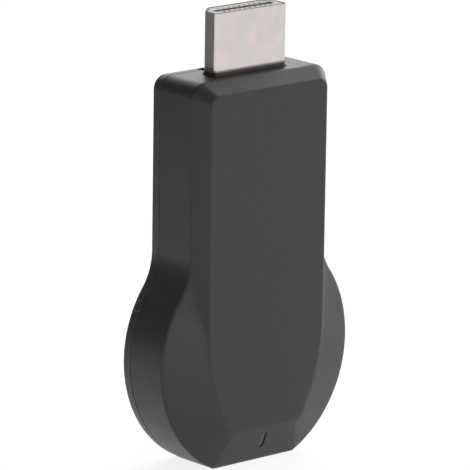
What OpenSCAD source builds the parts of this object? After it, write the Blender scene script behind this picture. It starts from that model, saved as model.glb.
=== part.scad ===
// Wifi display dongle. Millimetres. X runs to the right, Y from the front panel to the
// back, Z up. The origin is the middle of the flat lower end.

/* [Housing] */
// Width of the straight stem
stem_w = 26; // [25:0.5:28]
// Height of the housing without the plug
housing_h = 59; // [57:1:70]
// Thickness from the front panel to the back
housing_t = 11.6; // [11.2:0.2:13]
// Diameter of the round end
disc_d = 36.5; // [35:0.5:42]
// Height that the flat end cuts off the round end
flat_cut = 1.75; // [1.25:0.25:2.75]
// Radius of the hollow curve between stem and round end
shoulder_r = 9; // [6:0.5:12]
// Radius of the stem's top corners, seen from the front
stem_corner_r = 2.2; // [1.8:0.1:3]
// Thickness of the side walls
wall_t = 1.3; // [1:0.1:1.5]
// Thickness of the front wall behind the panel
front_wall_t = 1.4; // [1.2:0.1:1.8]
// Thickness of the rear cover's plate
cover_t = 1.2; // [1:0.1:1.3]
// Distance of the seam from the back face
seam_depth = 1.95; // [1.7:0.05:2.2]
// Rounding of the back edge
back_edge_r = 0.5; // [0.2:0.1:0.8]

/* [Front panel] */
// Width of the sloping rim on each side of the stem
rim_w = 1.75; // [1:0.25:2.5]
// Depth of the sloping rim between panel and side walls
slope_depth = 2.5; // [2:0.1:2.8]
// Drop from the top of the housing to the panel's top edge
panel_top_drop = 1.75; // [1.2:0.05:2.5]
// Height of the panel's lower edge
panel_foot_z = 5.8; // [5.2:0.1:6.5]
// Height at which the panel's sides start to curve in
panel_flare_z = 22; // [21:0.5:24]
// Radius of that curve
panel_flare_r = 32; // [28:1:40]
// Radius of the panel's top corners
panel_corner_r = 1.4; // [0.8:0.1:2]
// Radius of the panel's lower corners
panel_foot_r = 1.6; // [1:0.1:2]

/* [Plug] */
// Width of the plug's shell
plug_w = 13.9; // [13.5:0.1:14.5]
// Thickness of the plug's shell
plug_t = 4.45; // [4.2:0.05:4.7]
// Width of the shell's narrow side
plug_narrow_w = 9.8; // [9.2:0.1:10.5]
// Depth of the shell's straight sides
plug_side_t = 2.5; // [2.2:0.05:2.7]
// Corner radius of the shell
plug_corner_r = 0.6; // [0.45:0.05:0.7]
// Sheet thickness of the shell
plug_sheet_t = 0.3; // [0.2:0.05:0.35]
// Reach of the plug above the housing
plug_reach = 9.4; // [8:0.1:12]
// Length of the shell inside the housing
plug_seat = 7.9; // [7:0.1:8.5]
// Distance of the plug's middle behind the housing's middle
plug_offset = 0.85; // [0.7:0.05:0.95]
// Gap between the plug and the opening it passes through
plug_gap = 0.2; // [0.1:0.05:0.3]

/* [Power socket] */
// Width of the socket's shell
usb_w = 7.5; // [7:0.1:8]
// Thickness of the socket's shell
usb_t = 2.5; // [2.4:0.05:2.6]
// Depth of the socket's shell
usb_d = 5.6; // [5:0.1:6]
// Sheet thickness of the shell
usb_sheet_t = 0.25; // [0.2:0.05:0.3]
// Distance of the socket's mouth inside the flat end
usb_recess = 0.6; // [0.4:0.1:0.9]
// Gap between the socket and the opening round it
usb_gap = 0.25; // [0.15:0.05:0.35]

/* [Button] */
// Height of the button's head along the edge
button_h = 1.9; // [1.4:0.1:2]
// Width of the button's head across the edge
button_w = 1.6; // [1.3:0.1:1.6]
// Angle of the button above the round end's middle
button_angle = 27; // [24:1:30]
// Distance of the head's middle from the back face
button_depth = 1.5; // [1.4:0.05:1.5]
// Reach of the head outside the wall
button_proud = 0.3; // [0.26:0.02:0.4]
// Travel of the button
button_travel = 0.25; // [0.15:0.05:0.25]
// Running clearance round the button
button_gap = 0.12; // [0.08:0.02:0.16]

/* [Board] */
// Thickness of the main board
board_t = 0.8; // [0.7:0.05:0.9]
// Gap between the board's edge and the side walls
board_gap = 0.3; // [0.2:0.05:0.4]
// Radius of the posts that hold the board
post_r = 1.3; // [1.1:0.1:1.5]
// Radius of the locating pins
pin_r = 0.5; // [0.4:0.05:0.6]
// Clearance round a locating pin
pin_gap = 0.1; // [0.05:0.01:0.15]
// Width of the processor
processor_w = 12; // [10:0.5:13]
// Width of the heat spreader
spreader_w = 15; // [13:0.5:16]
// Height of the heat spreader
spreader_h = 18; // [14:0.5:18]
// Width of the radio board
wifi_w = 12.6; // [11:0.2:13]
// Height of the radio board
wifi_h = 12.2; // [11:0.2:12.6]

/* [Hidden] */

// Smoothness of exact round parts
$fn = 48;
// One overrun serves all cuts
over = 0.5;

// Places along the depth
front_y = -housing_t / 2;
back_y = housing_t / 2;
rim_y = front_y + slope_depth;
seam_y = back_y - seam_depth;
cover_y = back_y - cover_t;
board_front = plug_offset - board_t / 2;
board_back = plug_offset + board_t / 2;

// Housing outline: half widths and the middle of the shoulder curve
stem_x = stem_w / 2;
disc_r = disc_d / 2;
disc_z = disc_r - flat_cut;
shoulder_x = stem_x + shoulder_r;
shoulder_z = disc_z + sqrt(pow(disc_r + shoulder_r, 2) - pow(shoulder_x, 2));
shoulder_angle = atan2(shoulder_z - disc_z, shoulder_x);

// Panel outline: middles of the flare curve and of the foot corner
panel_x = stem_x - rim_w;
panel_top_z = housing_h - panel_top_drop;
flare_x = panel_x - panel_flare_r;
foot_rise = panel_flare_z - panel_foot_z - panel_foot_r;
foot_angle = -asin(foot_rise / (panel_flare_r - panel_foot_r));
foot_x = flare_x + (panel_flare_r - panel_foot_r) * cos(foot_angle);
// Height where the shoulder crease meets the panel, and half the width of its blend
crease_z = 20;
crease_soft = 0.8;

// Steps of the outlines, alike on housing and panel so that they can be joined
low_steps = 11;
high_steps = 7;
foot_steps = 4;
flare_steps = low_steps + high_steps - foot_steps;
shoulder_steps = 4;
corner_steps = 4;

// Softness of the creases: shares of the slope, and lengths
rim_ease_share = 0.14;
panel_ease_share = 0.1;
rim_ease = 0.4;
panel_ease = 0.35;
seam_chamfer = 0.12;
cavity_rise = 0.9;
cavity_inset = 1;

// Right half of the housing's outline, from the flat end to the top
function housing_half(inset) =
    let (
        r = disc_r - inset,
        start = asin((inset - disc_z) / r),
        corner = max(stem_corner_r - inset, stem_corner_r / 8),
        cx = stem_x - inset - corner,
        cz = housing_h - inset - corner
    )
    concat(
        [for (k = [0 : low_steps + high_steps])
            let (a = k < low_steps ? start * (1 - k / low_steps)
                : shoulder_angle * (k - low_steps) / high_steps)
            [r * cos(a), disc_z + r * sin(a)]],
        [for (k = [1 : shoulder_steps])
            let (a = 180 + shoulder_angle * (1 - k / shoulder_steps))
            [shoulder_x + (shoulder_r + inset) * cos(a),
                shoulder_z + (shoulder_r + inset) * sin(a)]],
        [for (k = [0 : corner_steps])
            let (a = 90 * k / corner_steps)
            [cx + corner * cos(a), cz + corner * sin(a)]]
    );

// Right half of the panel's outline, with as many points as the housing's
function panel_half(inset) =
    let (
        flare = panel_flare_r - inset,
        foot = max(panel_foot_r - inset, panel_foot_r / 8),
        low = asin((crease_z - crease_soft - panel_flare_z) / flare),
        high = asin((crease_z + crease_soft - panel_flare_z) / flare),
        corner = max(panel_corner_r - inset, panel_corner_r / 8),
        cx = panel_x - inset - corner,
        cz = panel_top_z - inset - corner
    )
    concat(
        [for (k = [0 : foot_steps - 1])
            let (a = -90 + (foot_angle + 90) * k / foot_steps)
            [foot_x + foot * cos(a), panel_foot_z + panel_foot_r + foot * sin(a)]],
        [for (k = [0 : flare_steps])
            let (a = foot_angle + (low - foot_angle) * k / flare_steps)
            [flare_x + flare * cos(a), panel_flare_z + flare * sin(a)]],
        [for (k = [1 : shoulder_steps])
            let (a = low + (high - low) * k / shoulder_steps)
            [flare_x + flare * cos(a), panel_flare_z + flare * sin(a)]],
        [for (k = [0 : corner_steps])
            let (a = 90 * k / corner_steps)
            [cx + corner * cos(a), cz + corner * sin(a)]]
    );

// Whole outline from its right half
function both_sides(half) =
    concat(half, [for (k = [len(half) - 1 : -1 : 0]) [-half[k].x, half[k].y]]);

function housing_ring(inset) = both_sides(housing_half(inset));
function panel_ring(inset) = both_sides(panel_half(inset));

// A flat outline stood up at one depth
function upright(points, y) = [for (p = points) [p.x, y, p.y]];

// Point by point between two rings, and a curve through three of them
function between(a, b, share) =
    [for (k = [0 : len(a) - 1]) a[k] * (1 - share) + b[k] * share];
function curve(a, b, c, share) = between(between(a, b, share), between(b, c, share), share);

// Corners of a flat outline rounded with one radius
function rounded(corners, radius) =
    [for (k = [0 : len(corners) - 1])
        let (
            n = len(corners),
            here = corners[k],
            a = corners[(k + n - 1) % n] - here,
            b = corners[(k + 1) % n] - here,
            ua = a / norm(a),
            ub = b / norm(b),
            half = acos(ua * ub) / 2,
            middle = here + (ua + ub) / norm(ua + ub) * radius / sin(half),
            first = here + ua * radius / tan(half) - middle,
            last = here + ub * radius / tan(half) - middle,
            a0 = atan2(first.y, first.x),
            turn = atan2(last.y, last.x) - a0,
            sweep = turn < -180 ? turn + 360 : turn > 180 ? turn - 360 : turn
        )
        each [for (s = [0 : corner_steps])
            middle + radius * [cos(a0 + sweep * s / corner_steps),
                sin(a0 + sweep * s / corner_steps)]]];

// Solid between stacked rings, from the back ring to the front ring
module loft(rings) {
    n = len(rings[0]);
    last = len(rings) - 1;
    sides = [for (r = [0 : last - 1])
        for (k = [0 : n - 1])
            let (a = r * n + k, b = r * n + (k + 1) % n)
            each [[a, a + n, b + n], [a, b + n, b]]];
    back_cap = [for (k = [0 : n - 1]) k];
    front_cap = [for (k = [n - 1 : -1 : 0]) last * n + k];
    polyhedron(
        points = [for (ring = rings) each ring],
        faces = concat([back_cap], sides, [front_cap])
    );
}

// Upright outline given a depth
module prism(points, from_y, to_y) {
    translate([0, to_y, 0])
        rotate([90, 0, 0])
            linear_extrude(to_y - from_y)
                polygon(points);
}

// Round bar along the depth
module bar(x, z, from_y, to_y, r) {
    translate([x, to_y, z])
        rotate([90, 0, 0])
            cylinder(h = to_y - from_y, r = r);
}

// Box from one corner to the other
module box(low, high) {
    translate(low)
        cube(high - low);
}

// Slot with round ends, standing up, given a depth
module slot(x, z, w, h, from_y, to_y) {
    bar(x, z - (h - w) / 2, from_y, to_y, w / 2);
    bar(x, z + (h - w) / 2, from_y, to_y, w / 2);
    box([x - w / 2, from_y, z - (h - w) / 2], [x + w / 2, to_y, z + (h - w) / 2]);
}

// Box on the board's front or back face
module on_front(x, z, w, h, t, lift = 0) {
    box([x - w / 2, board_front - lift - t, z - h / 2], [x + w / 2, board_front - lift, z + h / 2]);
}

module on_back(x, z, w, h, t, lift = 0) {
    box([x - w / 2, board_back + lift, z - h / 2], [x + w / 2, board_back + lift + t, z + h / 2]);
}

// Posts that hold the board: two in the stem, two in the round end
post_margin = 2.1;
upper_post_drop = 10;
lower_post_angle = -36;
post_x = stem_x - wall_t - board_gap - post_margin;
post_z = housing_h - upper_post_drop;
post_reach = disc_r - wall_t - board_gap - post_margin;
low_post_x = post_reach * cos(lower_post_angle);
low_post_z = disc_z + post_reach * sin(lower_post_angle);
POSTS = [
    [post_x, post_z],
    [-post_x, post_z],
    [low_post_x, low_post_z],
    [-low_post_x, low_post_z],
];
// Reach of a locating pin behind the board
pin_reach = 1.2;

// Snap hooks on the rear cover: one on each side of the stem and of the round end
hook_w = 3;
hook_t = 0.8;
hook_gap = 0.1;
hook_catch = 0.4;
hook_catch_h = 0.7;
hook_board_gap = 0.2;
hook_reach = seam_y - board_back - hook_board_gap;
hook_drop = 21;
hook_angle = -8;

// Rear cover's locating lip
lip_t = 0.8;
lip_reach = 1.2;

// Placed against the inner wall at each hook, with +X towards the wall
module at_hooks() {
    for (side = [0, 1])
        mirror([side, 0, 0]) {
            translate([stem_x - wall_t, 0, housing_h - hook_drop])
                children();
            translate([0, 0, disc_z])
                rotate([0, -hook_angle, 0])
                    translate([disc_r - wall_t, 0, 0])
                        children();
        }
}

// One hook, grown on all sides for its pocket
module hook_catch_block(grow) {
    box([-hook_gap - grow, seam_y - hook_reach - grow, -hook_w / 2 - grow],
        [hook_catch + grow, seam_y - hook_reach + hook_catch_h + grow, hook_w / 2 + grow]);
}

module hook() {
    box([-hook_gap - hook_t, seam_y - hook_reach, -hook_w / 2],
        [-hook_gap, cover_y, hook_w / 2]);
    hook_catch_block(0);
}

// Plug outline, seen from the end
plug_front = plug_offset - plug_t / 2;
plug_back = plug_offset + plug_t / 2;
plug_top = housing_h + plug_reach;
board_top = housing_h - plug_seat;
function plug_corners(inset) =
    let (
        x = plug_w / 2 - inset,
        narrow = plug_narrow_w / 2 - inset * tan(45 / 2),
        knee = plug_front + plug_side_t - inset * tan(45 / 2)
    )
    [[-x, plug_front + inset], [x, plug_front + inset], [x, knee],
        [narrow, plug_back - inset], [-narrow, plug_back - inset], [-x, knee]];

module plug_bar(inset, radius, low, high) {
    translate([0, 0, low])
        linear_extrude(high - low)
            polygon(rounded(plug_corners(inset), radius));
}

// Opening in the housing's top, and its notch behind the plug in the rear cover
notch_wall = 0.65;
notch_side_gap = 0.3;
module plug_opening() {
    notch_x = plug_narrow_w / 2 + notch_side_gap;
    plug_bar(-plug_gap, plug_corner_r, board_top, housing_h + over);
    box([-notch_x, plug_offset, board_top], [notch_x, back_y - notch_wall, housing_h + over]);
}

// Socket outline, seen from the end, with its flat side on the board's back
usb_chamfer = 0.8;
usb_corner_r = 0.35;
usb_top = usb_recess + usb_d;
function usb_corners(inset) =
    let (
        x = usb_w / 2 - inset,
        low = board_back + inset,
        high = board_back + usb_t - inset,
        cut = usb_chamfer - inset * tan(45 / 2)
    )
    [[-x, low], [x, low], [x, high - cut], [x - cut, high], [-x + cut, high], [-x, high - cut]];

module usb_bar(inset, low, high) {
    translate([0, 0, low])
        linear_extrude(high - low)
            polygon(rounded(usb_corners(inset), usb_corner_r));
}

// Room for the socket in the walls
module usb_opening() {
    box([-usb_w / 2 - usb_gap, board_back - usb_gap, -over],
        [usb_w / 2 + usb_gap, board_back + usb_t + usb_gap, usb_recess + usb_d / 2]);
}

// Indicator window in the lower bevel
window_w = 0.9;
window_h = 2.5;
window_x = 0.45;
window_z = 3.4;
window_gap = 0.06;
pipe_flange = 0.5;
pipe_flange_t = 0.6;
pipe_recess = 0.4;
led_w = 0.8;
led_h = 1.6;
led_t = 0.7;
led_gap = 0.3;
cavity_front = rim_y + cavity_rise;

// Placed at the button, with -X outwards through the wall
module at_button() {
    translate([0, 0, disc_z])
        rotate([0, button_angle, 0])
            children();
}

// Button's flange, switch and plunger, as distances from the round end's middle
button_y = back_y - button_depth;
button_corner_r = 0.6;
flange_t = 0.6;
flange_h = 3.2;
flange_board_gap = 0.8;
flange_drop = button_y - board_back - flange_board_gap;
flange_wall_gap = 0.1;
flange_out = disc_r - wall_t - flange_wall_gap;
flange_in = flange_out - flange_t;
button_room = 0.5;
plunger_gap = 0.05;
plunger_out = flange_in - plunger_gap;
plunger_reach = 0.9;
plunger_w = 1.3;
plunger_t = 1;
plunger_root = 0.7;
plunger_clear = 0.05;
switch_w = 3.6;
switch_l = 2.8;
switch_out = plunger_out - plunger_reach;
switch_sheet_t = 0.15;
switch_cover_gap = 0.6;
switch_t = cover_y - board_back - switch_sheet_t - switch_cover_gap;
plunger_y = board_back + switch_t / 2;

// Bar with the outline of the button's head
module button_bar(grow, from_x, to_x) {
    y = button_w / 2 + grow;
    z = button_h / 2 + grow;
    translate([from_x, button_y, 0])
        rotate([0, 90, 0])
            linear_extrude(to_x - from_x)
                polygon(rounded([[-z, -y], [z, -y], [z, y], [-z, y]], button_corner_r + grow));
}

// Opening for the button's head through the wall
module button_opening() {
    at_button()
        button_bar(button_gap, -disc_r - over, -flange_in + over);
}

// Room behind the wall for the button's flange
module button_pocket() {
    reach_z = flange_h / 2 + button_room;
    at_button()
        box([-flange_out - flange_wall_gap, button_y - flange_drop - button_room, -reach_z],
            [-flange_in + button_travel + over, cover_y, reach_z]);
}

// Deep front half of the housing
module front_shell() {
    wall = upright(housing_ring(0), rim_y + rim_ease);
    rim = upright(housing_ring(0), rim_y);
    edge = upright(panel_ring(0), front_y);
    panel = upright(panel_ring(panel_ease), front_y);
    slope_start = between(rim, edge, rim_ease_share);
    slope_end = between(rim, edge, 1 - panel_ease_share);
    color([0.29, 0.29, 0.30]) {
        difference() {
            loft([
                upright(housing_ring(seam_chamfer), seam_y),
                upright(housing_ring(0), seam_y - seam_chamfer),
                wall,
                curve(wall, rim, slope_start, 1 / 3),
                curve(wall, rim, slope_start, 2 / 3),
                slope_start,
                slope_end,
                curve(slope_end, edge, panel, 1 / 3),
                curve(slope_end, edge, panel, 2 / 3),
                panel
            ]);
            prism(housing_ring(wall_t), cavity_front, seam_y + over);
            prism(panel_ring(cavity_inset), front_y + front_wall_t, cavity_front + over);
            plug_opening();
            usb_opening();
            button_opening();
            slot(window_x, window_z, window_w, window_h, front_y - over, cavity_front + over);
            at_hooks()
                hook_catch_block(hook_gap);
        }
        for (p = POSTS) {
            bar(p.x, p.y, post_root(p), board_front, post_r);
            bar(p.x, p.y, board_front, board_back + pin_reach, pin_r);
        }
    }
}

// A post stands on the front wall in the stem, and on the sloping rim in the round end
function post_root(p) = p.y > disc_z ? front_y + front_wall_t : cavity_front;

// Thin rear half of the housing, with its lip, hooks and posts
module rear_cover() {
    round_steps = 4;
    color([0.27, 0.27, 0.28])
        difference() {
            union() {
                difference() {
                    loft(concat(
                        [for (k = [round_steps : -1 : 0])
                            let (a = 90 * k / round_steps)
                            upright(housing_ring(back_edge_r * (1 - cos(a))),
                                back_y - back_edge_r * (1 - sin(a)))],
                        [upright(housing_ring(0), seam_y + seam_chamfer),
                            upright(housing_ring(seam_chamfer), seam_y)]
                    ));
                    prism(housing_ring(wall_t), seam_y - over, cover_y);
                }
                difference() {
                    prism(housing_ring(wall_t + hook_gap), seam_y - lip_reach, cover_y + over / 2);
                    prism(housing_ring(wall_t + hook_gap + lip_t),
                        seam_y - lip_reach - over, cover_y + over);
                }
                at_hooks()
                    hook();
                for (p = POSTS)
                    bar(p.x, p.y, board_back, cover_y + over / 2, post_r);
            }
            for (p = POSTS)
                bar(p.x, p.y, board_back - over, board_back + pin_reach + pin_gap, pin_r + pin_gap);
            plug_opening();
            usb_opening();
            button_opening();
            button_pocket();
        }
}

// Push button: a small head in the wall, a flange behind it
module side_button() {
    color([0.22, 0.22, 0.23])
        at_button() {
            button_bar(0, -disc_r - button_proud, -flange_in);
            box([-flange_out, button_y - flange_drop, -flange_h / 2],
                [-flange_in, button_y, flange_h / 2]);
        }
}

// Smoked piece between the lamp and the window, its end sloped like the bevel
module light_pipe() {
    slope = slope_depth / panel_foot_z;
    low_z = window_z - window_h;
    high_z = window_z + window_h;
    tip = board_front - led_t - led_gap;
    color([0.36, 0.36, 0.37]) {
        intersection() {
            slot(window_x, window_z, window_w - 2 * window_gap, window_h - 2 * window_gap,
                front_y, cavity_front + pipe_flange_t / 2);
            translate([window_x - window_w, 0, 0])
                rotate([90, 0, 90])
                    linear_extrude(2 * window_w)
                        polygon([
                            [rim_y - slope * low_z + pipe_recess, low_z],
                            [cavity_front + pipe_flange_t, low_z],
                            [cavity_front + pipe_flange_t, high_z],
                            [rim_y - slope * high_z + pipe_recess, high_z]
                        ]);
        }
        slot(window_x, window_z, window_w + 2 * pipe_flange, window_h + 2 * pipe_flange,
            cavity_front, cavity_front + pipe_flange_t);
        slot(window_x, window_z, window_w, led_h,
            cavity_front + pipe_flange_t, tip);
    }
}

// Mating slot of the plug, its contact channels and the contacts' route
contact_pitch = 1;
contact_w = 0.4;
contact_t = 0.15;
contact_gap = 0.06;
front_count = 10;
back_count = 9;
mate_w = 11.6;
mate_t = 1.3;
mate_depth = 7;
mate_front = board_back - mate_t;
insulator_recess = 0.35;
channel_t = 0.75;
tail_l = 1.9;
tail_step = 0.6;
contact_tip = 1;
snug = 0.03;

module contact_places(count) {
    for (k = [0 : count - 1])
        translate([(k - (count - 1) / 2) * contact_pitch, 0, 0])
            children();
}

// Folded metal shell of the plug, with two blades that drop into the board
blade_t = 1.4;
blade_l = 2.2;
module plug_shell() {
    color([0.80, 0.79, 0.77]) {
        difference() {
            plug_bar(0, plug_corner_r, board_top, plug_top);
            plug_bar(plug_sheet_t, plug_corner_r - plug_sheet_t, board_top - over, plug_top + over);
        }
        for (side = [0, 1])
            mirror([side, 0, 0])
                box([plug_w / 2 - plug_sheet_t, plug_offset - blade_t, board_top - blade_l],
                    [plug_w / 2, plug_front + plug_side_t, board_top]);
    }
}

// Moulded block that fills the shell and holds the contacts
module plug_insulator() {
    channel_w = contact_w + 2 * contact_gap;
    color([0.86, 0.86, 0.85])
        difference() {
            plug_bar(plug_sheet_t + snug, plug_corner_r - plug_sheet_t,
                board_top, plug_top - insulator_recess);
            box([-mate_w / 2, mate_front, plug_top - mate_depth],
                [mate_w / 2, board_back, plug_top + over]);
            contact_places(front_count)
                box([-channel_w / 2, mate_front - channel_t, board_top - over],
                    [channel_w / 2, mate_front, plug_top + over]);
            contact_places(back_count)
                box([-channel_w / 2, board_back, board_top - over],
                    [channel_w / 2, board_back + channel_t, plug_top + over]);
        }
}

// A contact follows its channel, then steps across to the board
module contact(row_y, side, pad_y) {
    tip_z = plug_top - contact_tip;
    step_z = board_top - tail_step;
    end_z = board_top - tail_l;
    away = side * contact_t;
    translate([-contact_w / 2, 0, 0])
        rotate([90, 0, 90])
            linear_extrude(contact_w)
                polygon([
                    [row_y, tip_z],
                    [row_y + away, tip_z],
                    [row_y + away, board_top],
                    [pad_y + away, step_z],
                    [pad_y + away, end_z],
                    [pad_y, end_z],
                    [pad_y, step_z],
                    [row_y, board_top]
                ]);
}

module plug_contacts_front() {
    color([0.83, 0.68, 0.35])
        contact_places(front_count)
            contact(mate_front, -1, board_front);
}

module plug_contacts_back() {
    color([0.83, 0.68, 0.35])
        contact_places(back_count)
            contact(board_back, 1, board_back);
}

// Metal shell of the power socket, with two ears on the board
usb_ear_w = 0.9;
usb_ear_h = 1.6;
module usb_shell() {
    color([0.74, 0.74, 0.75]) {
        difference() {
            usb_bar(0, usb_recess, usb_top);
            usb_bar(usb_sheet_t, usb_recess - over, usb_top + over);
        }
        for (side = [0, 1])
            mirror([side, 0, 0])
                box([usb_w / 2 - usb_corner_r, board_back, usb_top / 2],
                    [usb_w / 2 + usb_ear_w, board_back + usb_sheet_t, usb_top / 2 + usb_ear_h]);
    }
}

// Moulded block at the back of the socket, with the tongue
tongue_w = 5.2;
tongue_t = 0.65;
tongue_recess = 0.9;
usb_block = 1.5;
usb_count = 5;
usb_pitch = 0.65;
usb_contact_w = 0.35;
usb_contact_t = 0.12;
tongue_y = board_back + usb_t / 2 + tongue_t / 2;
module usb_tongue() {
    color([0.16, 0.16, 0.17]) {
        usb_bar(usb_sheet_t + snug, usb_top - usb_block, usb_top);
        box([-tongue_w / 2, tongue_y, usb_recess + tongue_recess],
            [tongue_w / 2, tongue_y + tongue_t, usb_top - usb_block]);
    }
}

module usb_contacts() {
    color([0.83, 0.68, 0.35])
        for (k = [0 : usb_count - 1])
            translate([(k - (usb_count - 1) / 2) * usb_pitch - usb_contact_w / 2, 0, 0])
                box([0, tongue_y - usb_contact_t, usb_recess + 2 * tongue_recess],
                    [usb_contact_w, tongue_y, usb_top - usb_block]);
}

// Main board in the shape of the housing, notched for the blades and bored for the pins
blade_slack = 0.1;
module main_board() {
    notch_in = plug_w / 2 - plug_sheet_t - blade_slack;
    notch_out = plug_w / 2 + blade_slack;
    color([0.10, 0.28, 0.17])
        difference() {
            prism(housing_ring(wall_t + board_gap), board_front, board_back);
            box([-stem_w, board_front - over, board_top], [stem_w, board_back + over, housing_h]);
            for (side = [0, 1])
                mirror([side, 0, 0])
                    box([notch_in, board_front - over, board_top - blade_l - blade_slack],
                        [notch_out, board_back + over, board_top + over]);
            for (p = POSTS)
                bar(p.x, p.y, board_front - over, board_back + over, pin_r + pin_gap);
        }
}

// Main chip, its pad and its heat spreader
processor_t = 1.2;
spreader_post_gap = 0.75;
spreader_low_z = low_post_z + post_r + spreader_post_gap;
processor_z = spreader_low_z + spreader_h / 2;
pad_margin = 1;
pad_t = 0.5;
spreader_t = 1;
lid_margin = 1.2;
lid_t = 0.15;
module processor() {
    lid_w = processor_w - 2 * lid_margin;
    color([0.12, 0.12, 0.13]) {
        on_front(0, processor_z, processor_w, processor_w, processor_t - lid_t);
        on_front(0, processor_z, lid_w, lid_w, lid_t, processor_t - lid_t);
    }
}

module thermal_pad() {
    color([0.55, 0.65, 0.75])
        on_front(0, processor_z, processor_w - 2 * pad_margin, processor_w - 2 * pad_margin,
            pad_t, processor_t);
}

module heat_spreader() {
    color([0.78, 0.79, 0.80])
        on_front(0, processor_z, spreader_w, spreader_h, spreader_t, processor_t + pad_t);
}

// Memory chip on the board's back
memory_w = 8;
memory_h = 11;
memory_t = 1.1;
module memory_chip() {
    color([0.13, 0.13, 0.14])
        on_back(0, processor_z, memory_w, memory_h, memory_t);
}

// Start-up memory with eight leads, above the spreader
flash_w = 3.9;
flash_h = 4.9;
flash_t = 1.5;
lead_w = 0.42;
lead_t = 0.2;
lead_out = 0.9;
lead_pitch = 1.15;
lead_count = 4;
flash_stand = 0.15;
flash_gap = 0.7;
flash_z = processor_z + spreader_h / 2 + flash_gap + flash_h / 2;
module flash_chip() {
    color([0.13, 0.13, 0.14])
        on_front(0, flash_z, flash_w, flash_h, flash_t - flash_stand, flash_stand);
}

// A gull-wing lead on the front face, with its foot away from the chip
module lead(root_x, out, rise) {
    translate([0, 0, -lead_w / 2])
        linear_extrude(lead_w)
            polygon([
                [root_x, board_front - rise],
                [root_x + out / 2, board_front - rise],
                [root_x + out / 2, board_front - lead_t],
                [root_x + out, board_front - lead_t],
                [root_x + out, board_front],
                [root_x + out / 2 - lead_t, board_front],
                [root_x + out / 2 - lead_t, board_front - rise + lead_t],
                [root_x, board_front - rise + lead_t]
            ]);
}

module flash_leads() {
    color([0.80, 0.80, 0.81])
        for (side = [0, 1])
            mirror([side, 0, 0])
                for (k = [0 : lead_count - 1])
                    translate([0, 0, flash_z + (k - (lead_count - 1) / 2) * lead_pitch])
                        lead(flash_w / 2, lead_out, flash_t / 2);
}

// Surge guards on the back, below the contact tails
guard_w = 2.5;
guard_h = 1;
guard_t = 0.5;
guard_x = 3.2;
guard_gap = 0.15;
guard_z = board_top - tail_l - guard_gap - guard_h / 2;
module plug_guard_chips() {
    color([0.13, 0.13, 0.14])
        for (x = [-guard_x, guard_x])
            on_back(x, guard_z, guard_w, guard_h, guard_t);
}

// Radio board with its shield can on the back, and the antenna at the front's left edge
wifi_t = 0.8;
wifi_gap = 0.5;
can_margin = 0.7;
can_t = 1.3;
can_sheet_t = 0.2;
wifi_z = guard_z - guard_h / 2 - wifi_gap - wifi_h / 2;
antenna_w = 1.8;
antenna_h = 6.5;
antenna_t = 1.2;
antenna_gap = 0.9;
module wifi_board() {
    color([0.08, 0.22, 0.30])
        on_back(0, wifi_z, wifi_w, wifi_h, wifi_t);
}

module wifi_can() {
    w = wifi_w - 2 * can_margin;
    h = wifi_h - 2 * can_margin;
    color([0.79, 0.80, 0.80])
        difference() {
            on_back(0, wifi_z, w, h, can_t, wifi_t);
            on_back(0, wifi_z, w - 2 * can_sheet_t, h - 2 * can_sheet_t,
                can_t - can_sheet_t + over, wifi_t - over);
        }
}

module chip_antenna() {
    color([0.90, 0.88, 0.80])
        on_front(-wifi_w / 2 - antenna_gap - antenna_w / 2, wifi_z, antenna_w, antenna_h, antenna_t);
}

// Small parts of the power and clock circuits, in the round end
crystal_w = 2.5;
crystal_h = 3.2;
crystal_t = 0.8;
crystal_gap = 0.8;
inductor_w = 4;
inductor_t = 1.8;
inductor_r = 1.5;
low_row_gap = 0.8;
low_row_z = spreader_low_z - low_row_gap - inductor_w / 2;
inductor_x = 5.4;
tantalum_w = 2.8;
tantalum_h = 3.5;
tantalum_t = 1.7;
tantalum_x = -4.6;
module crystal() {
    x = -processor_w / 2 - crystal_gap - crystal_w / 2;
    color([0.82, 0.82, 0.80])
        on_front(x, processor_z, crystal_w, crystal_h, crystal_t);
}

module power_inductor() {
    base_t = inductor_t / 4;
    color([0.24, 0.24, 0.25]) {
        on_front(inductor_x, low_row_z, inductor_w, inductor_w, base_t);
        bar(inductor_x, low_row_z, board_front - inductor_t + base_t, board_front - base_t,
            inductor_r);
        on_front(inductor_x, low_row_z, inductor_w, inductor_w, base_t, inductor_t - base_t);
    }
}

module tantalum_capacitor() {
    color([0.85, 0.62, 0.20])
        on_front(tantalum_x, low_row_z, tantalum_w, tantalum_h, tantalum_t);
}

// Voltage regulator on the back, beside the right lower post
regulator_w = 1.7;
regulator_h = 2.9;
regulator_t = 1.1;
regulator_stand = 0.1;
regulator_lead_out = 0.6;
regulator_pitch = 0.95;
regulator_count = 3;
regulator_gap = 0.8;
regulator_rise = 1.25;
regulator_x = low_post_x - post_r - regulator_gap - regulator_lead_out - regulator_w / 2;
regulator_z = low_post_z + regulator_rise;
module regulator() {
    low = board_back + regulator_stand;
    color([0.13, 0.13, 0.14])
        box([regulator_x - regulator_w / 2, low, regulator_z - regulator_h / 2],
            [regulator_x + regulator_w / 2, low + regulator_t, regulator_z + regulator_h / 2]);
}

module regulator_leads() {
    color([0.80, 0.80, 0.81])
        for (k = [0 : regulator_count - 1])
            for (side = [0, 1])
                translate([regulator_x, 2 * plug_offset,
                    regulator_z + (k - (regulator_count - 1) / 2) * regulator_pitch])
                    mirror([0, 1, 0])
                        mirror([side, 0, 0])
                            lead(regulator_w / 2, regulator_lead_out, regulator_t / 2);
}

module status_led() {
    color([0.92, 0.90, 0.80]) {
        on_front(window_x, window_z, led_w, led_h, led_t / 2);
        on_front(window_x, window_z, led_w, led_h / 2, led_t / 2, led_t / 2);
    }
}

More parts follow.
